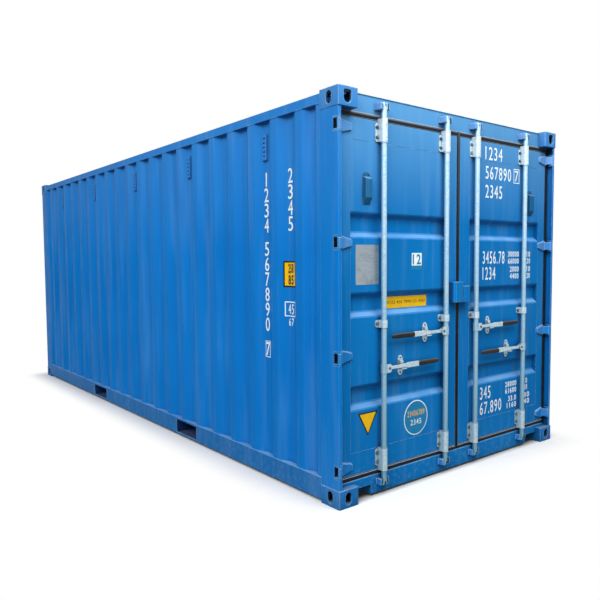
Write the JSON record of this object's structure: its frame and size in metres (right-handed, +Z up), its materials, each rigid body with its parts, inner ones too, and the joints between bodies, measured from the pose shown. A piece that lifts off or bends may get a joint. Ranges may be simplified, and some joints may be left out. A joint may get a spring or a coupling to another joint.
{
  "type": "twenty-foot dry freight shipping container",
  "caption": "Steel shipping container with corrugated walls, fork pockets, corner castings and a pair of end doors held shut by turning lock rods with lifting handles.",
  "frame": {"origin": "ground level under the middle of the box", "axes": "+X across the width to the right seen from the door end, +Y along the length from the doors to the closed end, +Z up"},
  "size_m": [2.438, 6.0589, 2.591],
  "materials": {
    "blue_paint": "satin marine paint, lightly faded",
    "galvanised_steel": "hot dip galvanised, dull",
    "gasket_rubber": "matt, dusty",
    "plywood": "stained plywood"
  },
  "bodies": {
    "box": {"top_castings": "blue_paint", "bottom_castings": "blue_paint", "left_rear_post": "blue_paint", "right_rear_post": "blue_paint", "front_posts": "blue_paint", "top_side_rails": "blue_paint", "bottom_side_rails": "blue_paint", "front_top_rail": "blue_paint", "front_bottom_rail": "blue_paint", "door_header": "blue_paint", "door_sill": "blue_paint", "left_side_wall": "blue_paint", "right_side_wall": "blue_paint", "front_wall": "blue_paint", "roof_panel": "blue_paint", "floor": "plywood", "cross_members": "blue_paint", "fork_pockets": "blue_paint", "side_vents": "blue_paint", "cam_keepers": "blue_paint", "hinge_lugs": "blue_paint"},
    "left_door": {"left_door_frame": "blue_paint", "left_door_panel": "blue_paint", "left_door_gasket": "gasket_rubber", "left_hinge_blades": "blue_paint", "left_rod_brackets": "galvanised_steel", "left_handle_catches": "galvanised_steel", "left_door_vent": "blue_paint", "left_lock_box": "blue_paint"},
    "right_door": {"right_door_frame": "blue_paint", "right_door_panel": "blue_paint", "right_door_gasket": "gasket_rubber", "right_hinge_blades": "blue_paint", "right_rod_brackets": "galvanised_steel", "right_handle_catches": "galvanised_steel", "right_door_vent": "blue_paint", "right_lock_box": "blue_paint"},
    "left_inner_lock_rod": {"left_inner_lock_rod": "galvanised_steel"},
    "left_inner_handle": {"left_inner_handle": "galvanised_steel"},
    "left_outer_lock_rod": {"left_outer_lock_rod": "galvanised_steel"},
    "left_outer_handle": {"left_outer_handle": "galvanised_steel"},
    "right_inner_lock_rod": {"right_inner_lock_rod": "galvanised_steel"},
    "right_inner_handle": {"right_inner_handle": "galvanised_steel"},
    "right_outer_lock_rod": {"right_outer_lock_rod": "galvanised_steel"},
    "right_outer_handle": {"right_outer_handle": "galvanised_steel"}
  },
  "joints": [
    {"name": "left_door_swing", "type": "hinge", "parent": "box", "child": "left_door", "pos_m": [-1.201, -3.014, 1.3], "axis": [0, 0, -1], "range_deg": [0, 264]},
    {"name": "right_door_swing", "type": "hinge", "parent": "box", "child": "right_door", "pos_m": [1.201, -3.014, 1.3], "axis": [0, 0, 1], "range_deg": [0, 264]},
    {"name": "left_inner_lock_rod_turn", "type": "hinge", "parent": "left_door", "child": "left_inner_lock_rod", "pos_m": [-0.176, -3.007, 1.042], "axis": [0, 0, -1], "range_deg": [-105, 0]},
    {"name": "left_inner_handle_lift", "type": "hinge", "parent": "left_inner_lock_rod", "child": "left_inner_handle", "pos_m": [-0.216, -3.007, 1.042], "axis": [0, 1, 0], "range_deg": [0, 15]},
    {"name": "left_outer_lock_rod_turn", "type": "hinge", "parent": "left_door", "child": "left_outer_lock_rod", "pos_m": [-0.807, -3.007, 0.838], "axis": [0, 0, 1], "range_deg": [-105, 0]},
    {"name": "left_outer_handle_lift", "type": "hinge", "parent": "left_outer_lock_rod", "child": "left_outer_handle", "pos_m": [-0.767, -3.007, 0.838], "axis": [0, -1, 0], "range_deg": [0, 15]},
    {"name": "right_inner_lock_rod_turn", "type": "hinge", "parent": "right_door", "child": "right_inner_lock_rod", "pos_m": [0.176, -3.007, 1.042], "axis": [0, 0, 1], "range_deg": [-105, 0]},
    {"name": "right_inner_handle_lift", "type": "hinge", "parent": "right_inner_lock_rod", "child": "right_inner_handle", "pos_m": [0.216, -3.007, 1.042], "axis": [0, -1, 0], "range_deg": [0, 15]},
    {"name": "right_outer_lock_rod_turn", "type": "hinge", "parent": "right_door", "child": "right_outer_lock_rod", "pos_m": [0.807, -3.007, 0.838], "axis": [0, 0, -1], "range_deg": [-105, 0]},
    {"name": "right_outer_handle_lift", "type": "hinge", "parent": "right_outer_lock_rod", "child": "right_outer_handle", "pos_m": [0.767, -3.007, 0.838], "axis": [0, 1, 0], "range_deg": [0, 15]}
  ]
}
